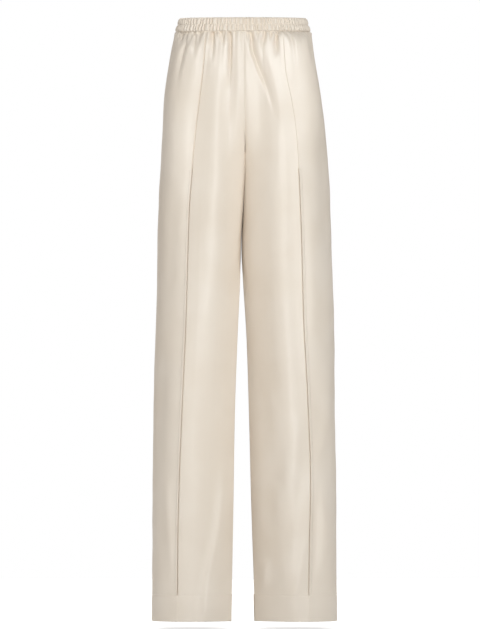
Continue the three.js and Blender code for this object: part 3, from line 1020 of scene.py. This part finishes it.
def spaced_drops(spacing: Line, start: float, end: float) -> np.ndarray:
    """Spaces a mesh's rows unevenly.

    Args:
        spacing: The distance between rows at each drop.
        start: The first row's drop.
        end: The last row's drop.

    Returns:
        The drops of all rows.
    """
    fine = np.linspace(start, end, SPACING_SAMPLES)
    count = np.concatenate([[0], np.cumsum(np.diff(fine) / spacing.at(fine[:-1]))])
    rows = max(2, round(count[-1]))
    return np.interp(np.linspace(0, count[-1], rows + 1), count, fine)


def flat_places(along: np.ndarray, drops: np.ndarray) -> np.ndarray:
    """Gives places on the flat cloth.

    Args:
        along: Distances across the cloth, as rows of columns.
        drops: The drops of the rows.

    Returns:
        The places.
    """
    return np.stack(np.broadcast_arrays(along, -drops[:, None]), axis=-1)


@dataclass
class LegPanel:
    """One of the four leg panels, from under the waistband to the hem."""

    form: GarmentForm
    drape: Drape
    leg: Leg
    face: Face
    on_it: tuple[bpy.types.Object, ...] = ()
    cloth: float = 0.75
    columns: dict[Face, tuple[int, int, int]] = field(default_factory=lambda: {
        Face.FRONT: (46, 66, 10), Face.BACK: (34, 48, 8),
    })
    edge_steps: tuple[float, ...] = (0, 0.4, 0.9, 1.6, 2.6)
    crease_steps: tuple[float, ...] = (-3.4, -1.9, -0.9, -0.3, 0, 0.25, 0.5, 0.75, 1.0, 1.25, 1.55, 1.95, 2.8)
    spacing: Line = Line((
        (25, 0.9), (32, 1.2), (44, 1.7), (75, 2.5), (140, 3.4), (210, 2.8), (290, 3.2), (420, 6.4), (1000, 6.4),
        (1066, 3.6), (1077, 0.8), (1085, 0.8), (1096, 2.8), (1122, 2.4), (1129, 0.55), (1131, 0.3),
    ))

    @property
    def name(self) -> str:
        """The panel's name, which is its frame node's with the word for its cloth."""
        return f"{self.face.word}_{self.leg.word}_cloth"

    def _columns(self, section: Section) -> np.ndarray:
        """Spreads the panel's columns, closer together at its seams and crease.

        Args:
            section: The panel's plain curves.

        Returns:
            Arc lengths, a row for each drop.
        """
        crease, length = section.crease_arc(), section.length
        edge, fold = np.array(self.edge_steps)[None, :], np.array(self.crease_steps)[None, :]
        before_count, after_count, wall_count = self.columns[self.face]
        before = np.linspace(0, 1, before_count + 2)[None, 1:-1]
        after = np.linspace(0, 1, after_count + 1)[None, 1:]
        wall = np.linspace(0, 1, wall_count + 2)[None, 1:-1]
        first, last = edge[0, -1], crease + fold[0, 0]
        start, turn, end = crease + fold[0, -1], section.meeting_arc(), length - edge[0, -1]
        parts = [edge + 0 * crease, first + (last - first) * before, crease + fold]
        parts += [start + (turn - start) * after, turn + (end - turn) * wall, length - edge[:, ::-1]]
        return np.concatenate(parts, axis=1)

    def build(self) -> bpy.types.Object:
        """Models and dresses the panel.

        Returns:
            The piece.
        """
        form = self.form
        drops = spaced_drops(self.spacing, form.band_height - 1, form.outseam)
        section = form.section(self.leg, self.face, drops, form.seam_gap)
        arcs = self._columns(section)
        points, normals = section.place(arcs)
        points = points + normals * self.drape.height(section, arcs)[..., None]
        nearest = form.inseam[self.leg].at(drops)[:, None] + form.seam_gap / 2
        points[..., 0] = self.leg.value * np.maximum(self.leg.value * points[..., 0], nearest)
        places = flat_places(arcs - section.crease_arc(), drops)
        cloth = cloth_grid(points, places, turned=self.leg.value * self.face.value < 0)
        panel = finished_piece(self.name, cloth, RIGHT_SIDE, WRONG_SIDE)
        thicken(panel, self.cloth)
        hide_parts(f"{self.face.word}_{self.leg.word}")
        return panel


@dataclass
class FrontTuck:
    """The stitched tuck down one front panel: a narrow flap whose folded edge lies on the crease line."""

    form: GarmentForm
    drape: Drape
    leg: Leg
    width: float = 3.8
    overhang: float = 0.35
    edge_height: float = 1.15
    rise_end: float = 1.15
    lift: float = 0.03
    columns: int = 11
    round_edge: Rows = ((0.62, 0.82), (0.70, 0.55), (0.55, 0.28), (0.2, 0.14))
    under_side: Rows = ((-1.2, 0.1), (-2.6, 0.08))
    end_share: float = 0.25
    end_reach: Range = (4, 3)
    spacing: Line = Line(((284, 1.2), (292, 3.0), (600, 4.4), (1060, 4.4), (1081, 1.4)))

    def _outline(self) -> tuple[np.ndarray, np.ndarray]:
        """Draws the flap's closed cross-section.

        Returns:
            How far past the crease each column is, and its height over the panel.
        """
        share = np.linspace(0, 1, self.columns)
        over = -self.width + (self.width + self.overhang) * share
        top = self.lift + (self.edge_height - self.lift) * eased(share, 0, self.rise_end)
        edge, under = np.array(self.round_edge), np.array(self.under_side)
        past = np.concatenate([over, edge[:, 0], under[:, 0], over[:1]])
        return past, np.concatenate([top, self.edge_height * edge[:, 1], under[:, 1], top[:1]])

    def build(self) -> bpy.types.Object:
        """Models and dresses the tuck.

        Returns:
            The piece.
        """
        form = self.form
        drops = spaced_drops(self.spacing, form.tuck_top, form.hem_drop)
        section = form.section(self.leg, Face.FRONT, drops, form.seam_gap)
        past, rise = self._outline()
        begun = eased(drops, form.tuck_top, form.tuck_top + self.end_reach[0])
        ended = eased(drops, form.hem_drop - self.end_reach[1], form.hem_drop)
        full = self.end_share + (1 - self.end_share) * np.minimum(begun, 1 - ended)
        crease = section.crease_arc()
        ground = self.drape.height(section, crease + np.minimum(past, 0)[None, :])
        points, normals = section.place(crease + past[None, :])
        points = points + normals * (ground + full[:, None] * rise[None, :])[..., None]
        places = flat_places(past[None, :], drops)
        cloth = cloth_grid(points, places, turned=self.leg is Leg.LEFT, closed=True)
        bmesh.ops.holes_fill(cloth, edges=[edge for edge in cloth.edges if edge.is_boundary], sides=0)
        tuck = finished_piece(f"tuck_{self.leg.word}_flap", cloth, RIGHT_SIDE)
        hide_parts(f"tuck_{self.leg.word}")
        return tuck


@dataclass
class HemTurnUp:
    """The turned-up hem inside one leg's foot."""

    form: GarmentForm
    drape: Drape
    leg: Leg
    inset: float = 1.15
    short: float = 0.35
    pressed: float = 0.5
    press_reach: float = 3
    cloth: float = 0.6
    columns: int = 150
    spacing: Line = Line(((1081, 0.8), (1085, 2.6), (1124, 2.6), (1131, 0.5)))

    def build(self) -> bpy.types.Object:
        """Models and dresses the turn-up.

        Returns:
            The piece.
        """
        form = self.form
        drops = spaced_drops(self.spacing, form.hem_drop, form.outseam - self.short)
        press = self.pressed * (1 - eased(drops[:, None], form.hem_drop, form.hem_drop + self.press_reach))
        halves, girth = [], 0.0
        for face in Face:
            section = form.section(self.leg, face, drops, form.seam_gap)
            arcs = section.length * np.linspace(0, 1, self.columns)[None, :]
            points, normals = section.place(arcs)
            to_seam = np.minimum(arcs, section.length - arcs)
            height = self.drape.height(section, arcs) + self.drape.seam_roll * hump(to_seam, 1)
            points = points + normals * (height - self.inset + press)[..., None]
            places = flat_places(girth + arcs, drops)
            if face is Face.BACK:
                points, places = points[:, ::-1], places[:, ::-1]
            halves.append((points, places))
            girth += float(section.length.mean())
        points = np.concatenate([halves[0][0], halves[1][0][:, 1:-1], halves[0][0][:, :1]], axis=1)
        seam = halves[0][1][:, :1] + np.array([girth, 0])
        places = np.concatenate([halves[0][1], halves[1][1][:, 1:-1], seam], axis=1)
        cloth = cloth_grid(points, places, turned=self.leg is Leg.LEFT, closed=True)
        hem = finished_piece(f"hem_{self.leg.word}_turn_up", cloth, RIGHT_SIDE, WRONG_SIDE)
        thicken(hem, self.cloth)
        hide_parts(f"hem_{self.leg.word}")
        rests_on = [f"front_{self.leg.word}_cloth", f"back_{self.leg.word}_cloth"]
        return hem


def sewn_row(name: str, starts: np.ndarray, ends: np.ndarray, width: float) -> bpy.types.Object:
    """Models a row of short stitches, each a slim rounded thread.

    Args:
        name: The row's name.
        starts: Where the stitches start, in millimetres.
        ends: Where they end.
        width: The thread's width.

    Returns:
        The piece.
    """
    row = bmesh.new()
    for start, end in zip(starts, ends):
        along = Vector(end - start)
        middle = Vector((start + end) / 2) * MM
        turn = along.to_track_quat("Z", "Y").to_matrix().to_4x4()
        size = Matrix.Diagonal((width / 2, width / 2, along.length / 2, 1))
        place = Matrix.Translation(middle) @ turn @ size
        bmesh.ops.create_uvsphere(row, u_segments=6, v_segments=4, radius=MM, matrix=place)
    for patch in row.faces:
        patch.smooth = True
    return finished_piece(name, row, ThreadFinish())


@dataclass
class Waistband:
    """The gathered elastic casing, in two channels with a stitched line between them."""

    form: GarmentForm
    gathers: int = 98
    columns_per_gather: int = 12
    wall: float = 2.4
    middle: float = 13.2
    swell: float = 1.3
    swell_power: float = 0.75
    pucker: float = 4.8
    pucker_power: float = 0.7
    edge_pucker: float = 0.34
    crest_power: float = 0.85
    mean_crest: float = 0.7
    turns: Range = (0.4, 2.9)
    uneven: tuple[Wave, Wave] = (Wave(0.2, 17), Wave(0.1, 41, 2))
    slant: Wave = Wave(0.08, 29)
    mean_size: float = 0.93
    size_wave: Wave = Wave(0.07, 23, 1.7)
    size_change: Wave = Wave(1.0, 9, phase=math.pi / 2)
    calm: Triple = (0.6, 0.94, 0.07)
    channel_rows: int = 10
    inside_rows: int = 9
    inside_share: float = 0.25
    edge_round: float = 0.5
    flat_girth: float = 640.0
    stitch_pitch: float = 2.6
    stitch_share: float = 0.62
    stitch_groove: Range = (0.12, 0.7)
    stitch_lift: float = 0.12
    lower_row: float = 1.1
    thread: float = 0.32

    def _ring(self, drops: np.ndarray, shares: np.ndarray) -> tuple[np.ndarray, np.ndarray]:
        """Places points all round the waist, anticlockwise from above, from the left side seam.

        Args:
            drops: The drops of the rows.
            shares: How far round each column is, from 0 to 1.

        Returns:
            The points in millimetres and the outward normals.
        """
        quarters = (
            (Leg.LEFT, Face.BACK, False), (Leg.RIGHT, Face.BACK, True),
            (Leg.RIGHT, Face.FRONT, False), (Leg.LEFT, Face.FRONT, True),
        )
        points = np.zeros((len(drops), len(shares), 3))
        normals = np.zeros_like(points)
        for index, (leg, face, backwards) in enumerate(quarters):
            section = self.form.section(leg, face, drops)
            own = np.clip(np.floor(shares * 4), 0, 3) == index
            along = shares[own] * 4 - index
            along = 1 - along if backwards else along
            points[:, own], normals[:, own] = section.place(section.length * along[None, :])
        return points, normals

    def _outside(self, drops: np.ndarray, shares: np.ndarray) -> np.ndarray:
        """Gives how far the casing's outside stands off the plain form.

        Args:
            drops: The drops of the rows.
            shares: How far round each column is.

        Returns:
            The height at each point.
        """
        upper = drops < self.middle
        top, bottom = np.where(upper, 0, self.middle), np.where(upper, self.middle, self.form.band_height)
        channel = np.clip((drops - top) / (bottom - top), 0, 1)[:, None]
        turn = np.where(upper, *self.turns)[:, None]
        round_it = 2 * math.pi * shares[None, :]
        uneven = sum(wave.at(round_it, turn) for wave in self.uneven)
        count = self.gathers * shares[None, :] + uneven + self.slant.at(round_it) * (channel - 0.5)
        crest = np.abs(np.sin(math.pi * count)) ** self.crest_power
        size = self.mean_size + self.size_wave.at(round_it, turn) * self.size_change.at(round_it, turn)
        calmer, calm_place, calm_width = self.calm
        size = size * (1 - calmer * hump(shares[None, :] - calm_place, calm_width))
        fullness = np.sin(math.pi * channel)
        size = size * (self.edge_pucker + (1 - self.edge_pucker) * fullness**self.pucker_power)
        depth, width = self.stitch_groove
        stitched = depth * hump(drops - self.middle, width)[:, None]
        return self.swell * fullness**self.swell_power + self.pucker * size * (crest - self.mean_crest) - stitched

    def _casing(self) -> bpy.types.Object:
        """Models and dresses the casing.

        Returns:
            The piece.
        """
        height = self.form.band_height
        outside = np.concatenate([
            np.linspace(0.25, self.middle - 0.9, self.channel_rows), self.middle + np.array([-0.4, 0.0, 0.4]),
            np.linspace(self.middle + 0.9, height - 0.3, self.channel_rows),
        ])
        inside = np.linspace(height - 0.6, 0.5, self.inside_rows)
        drops = np.concatenate([outside, inside])
        shares = np.linspace(0, 1, self.gathers * self.columns_per_gather + 1)
        points, normals = self._ring(drops, np.minimum(shares, 1 - TINY))
        inner = self.inside_share * self._outside(inside, shares) - self.wall
        heights = np.concatenate([self._outside(outside, shares), inner])
        heights[[0, len(outside) - 1]] -= self.edge_round
        points = points + normals * heights[..., None]
        points = np.concatenate([points, points[:1]])
        places = flat_places(self.flat_girth * shares[None, :], np.append(drops, drops[-1] + 0.9))
        cloth = cloth_grid(points, places, turned=False, closed=True)
        casing = finished_piece("waistband_casing", cloth, RIGHT_SIDE)
        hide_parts("waistband")
        return casing

    def _stitches(self, name: str, drop: float) -> bpy.types.Object:
        """Sews a row of stitches round the casing.

        Args:
            name: The row's name.
            drop: The row's drop.

        Returns:
            The piece.
        """
        row = np.array([drop])
        girth = 4 * float(self.form.section(Leg.LEFT, Face.FRONT, row).length.mean())
        count = round(girth / self.stitch_pitch)
        ends = []
        for side in (-0.5, 0.5):
            shares = (np.arange(count) + 0.5 + side * self.stitch_share) / count
            points, normals = self._ring(row, shares)
            ends.append((points + normals * (self._outside(row, shares) + self.stitch_lift)[..., None])[0])
        return sewn_row(name, *ends, self.thread)

    def build(self) -> list[bpy.types.Object]:
        """Models and dresses the whole waistband.

        Returns:
            Its pieces.
        """
        middle = self._stitches("waistband_middle_stitches", self.middle)
        lower = self._stitches("waistband_lower_stitches", self.form.band_height - self.lower_row)
        return [self._casing(), middle, lower]


@dataclass
class HemStitching:
    """The blind stitches that hold one leg's turn-up."""

    form: GarmentForm
    drape: Drape
    leg: Leg
    pitch: float = 5.2
    length: float = 1.1
    lift: float = 0.04
    thread: float = 0.3

    def build(self) -> bpy.types.Object:
        """Sews the row all round the leg.

        Returns:
            The piece.
        """
        drops = np.array([self.form.hem_drop])
        starts, ends = [], []
        for face in Face:
            section = self.form.section(self.leg, face, drops, self.form.seam_gap)
            arcs = np.arange(self.pitch, float(section.length[0, 0]) - self.pitch / 2, self.pitch)[None, :]
            for shift, kept in ((-self.length / 2, starts), (self.length / 2, ends)):
                points, normals = section.place(arcs + shift)
                height = self.drape.height(section, arcs + shift) + self.lift
                kept.append((points + normals * height[..., None])[0])
        return sewn_row(f"hem_{self.leg.word}_stitches", np.concatenate(starts), np.concatenate(ends), self.thread)


@dataclass(frozen=True)
class FloorFinish(Finish):
    """A matt studio floor that looks nearly white and throws little light up."""

    name: str = "studio_floor"
    colour: Triple = (0.93, 0.93, 0.93)
    roughness: float = 0.9
    glow: float = 0.75

    def _dress(self, tree: bpy.types.ShaderNodeTree, shader: bpy.types.Node) -> None:
        """Gives the floor a glow that only the camera sees.

        Args:
            tree: The material's nodes.
            shader: Its surface shader.
        """
        seen = add_node(tree, "LightPath").outputs["Is Camera Ray"]
        glow = add_node(tree, "Math", {0: seen, 1: self.glow}, operation="MULTIPLY").outputs["Value"]
        colour = (*self.colour, 1)
        feed(tree, shader, {
            "Base Color": colour, "Roughness": self.roughness, "Emission Color": colour, "Emission Strength": glow,
        })


@dataclass(frozen=True)
class SoftLight:
    """A square soft light, with places in metres and power in watts."""

    name: str
    place: Triple
    aim: Triple
    side: float
    power: float
    colour: Triple

    def hang(self) -> None:
        """Hangs the light in the studio."""
        lamp = bpy.data.lights.new(self.name, "AREA")
        lamp.shape, lamp.size, lamp.energy, lamp.color = "SQUARE", self.side, self.power, self.colour
        light = placed(self.name, lamp)
        light.location = self.place
        light.rotation_mode = "QUATERNION"
        light.rotation_quaternion = (Vector(self.aim) - Vector(self.place)).to_track_quat("-Z", "Y")


@dataclass
class Studio:
    """The plain floor, soft lights and far camera round the pants."""

    form: GarmentForm
    floor_gap: float = 0.014
    floor_side: float = 9.0
    scale: float = 0.00187
    distance: float = 24.0
    front: float = 0.09
    picture: tuple[int, int] = (480, 640)
    middle: Range = (-0.0069, -0.5536)
    sensor: float = 36.0
    clip: Range = (1.0, 60.0)
    front_glow: float = 0.17
    back_glow: float = 0.6
    glow_colour: Triple = (1, 0.97, 0.93)
    glow_change: float = 0.25
    lights: tuple[SoftLight, ...] = (
        SoftLight("key", (0.65, -3.0, 0.9), (0, 0, -0.5), 1.5, 73.5, (0.965, 1.0, 1.02)),
        SoftLight("fill", (-2.6, -1.6, -0.2), (0, 0, -0.6), 2.0, 10, (1.0, 0.97, 0.93)),
        SoftLight("back", (-0.5, 2.6, 1.9), (0, 0, -0.5), 1.4, 40, (1.0, 0.99, 0.96)),
    )

    def _floor(self) -> None:
        """Lays the floor just below the hems."""
        floor = bmesh.new()
        bmesh.ops.create_grid(floor, x_segments=1, y_segments=1, size=self.floor_side / 2)
        height = (self.form.band_top - self.form.outseam) * MM - self.floor_gap
        bmesh.ops.translate(floor, verts=floor.verts, vec=(0, 0, height))
        meshed("floor", floor, FloorFinish())

    def _surroundings(self) -> None:
        """Makes the surroundings white to the eye, and to the cloth dim in front and brighter behind."""
        world = bpy.data.worlds.new("studio")
        world.use_nodes = True
        tree = world.node_tree
        tree.nodes.clear()
        look = add_node(tree, "TexCoord").outputs["Generated"]
        backwards = add_node(tree, "SeparateXYZ", {"Vector": look}).outputs["Y"]
        strength = add_node(tree, "MapRange", {
            "Value": backwards, "From Min": -self.glow_change, "From Max": self.glow_change,
            "To Min": self.front_glow, "To Max": self.back_glow,
        }).outputs["Result"]
        cast = add_node(tree, "Background", {"Color": (*self.glow_colour, 1), "Strength": strength})
        seen = add_node(tree, "Background", {"Color": (1, 1, 1, 1), "Strength": 1.0})
        camera_ray = add_node(tree, "LightPath").outputs["Is Camera Ray"]
        views = {0: camera_ray, 1: cast.outputs["Background"], 2: seen.outputs["Background"]}
        add_node(tree, "OutputWorld", {"Surface": add_node(tree, "MixShader", views).outputs["Shader"]})
        bpy.context.scene.world = world

    def _camera(self) -> None:
        """Sets up the far camera, level with the middle of the picture."""
        lens = bpy.data.cameras.new("camera")
        lens.sensor_width = self.sensor
        lens.lens = (self.distance - self.front) / self.scale * self.sensor / max(self.picture)
        lens.clip_start, lens.clip_end = self.clip
        camera = placed("camera", lens)
        camera.location = (self.middle[0], -self.distance, self.middle[1])
        camera.rotation_euler = (math.pi / 2, 0, 0)
        bpy.context.scene.camera = camera

    def build(self) -> None:
        """Sets the whole studio up."""
        self._camera()
        self._floor()
        self._surroundings()
        for light in self.lights:
            light.hang()
        bpy.context.scene.view_settings.view_transform = "Standard"


def main() -> None:
    """Builds the pants and their studio, and logs each piece's face count."""
    logging.basicConfig(level=logging.INFO, format="%(message)s")
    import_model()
    form = GarmentForm()
    drape = Drape(form)
    Studio(form).build()
    pieces = []
    for leg in Leg:
        tuck = FrontTuck(form, drape, leg).build()
        panels = [LegPanel(form, drape, leg, Face.FRONT, (tuck,)), LegPanel(form, drape, leg, Face.BACK)]
        pieces += [tuck, *(panel.build() for panel in panels), HemTurnUp(form, drape, leg).build()]
        pieces.append(HemStitching(form, drape, leg).build())
    pieces += Waistband(form).build()
    for piece in pieces:
        LOG.info("%s: %d faces", piece.name, len(piece.data.polygons))


if __name__ == "__main__":
    main()
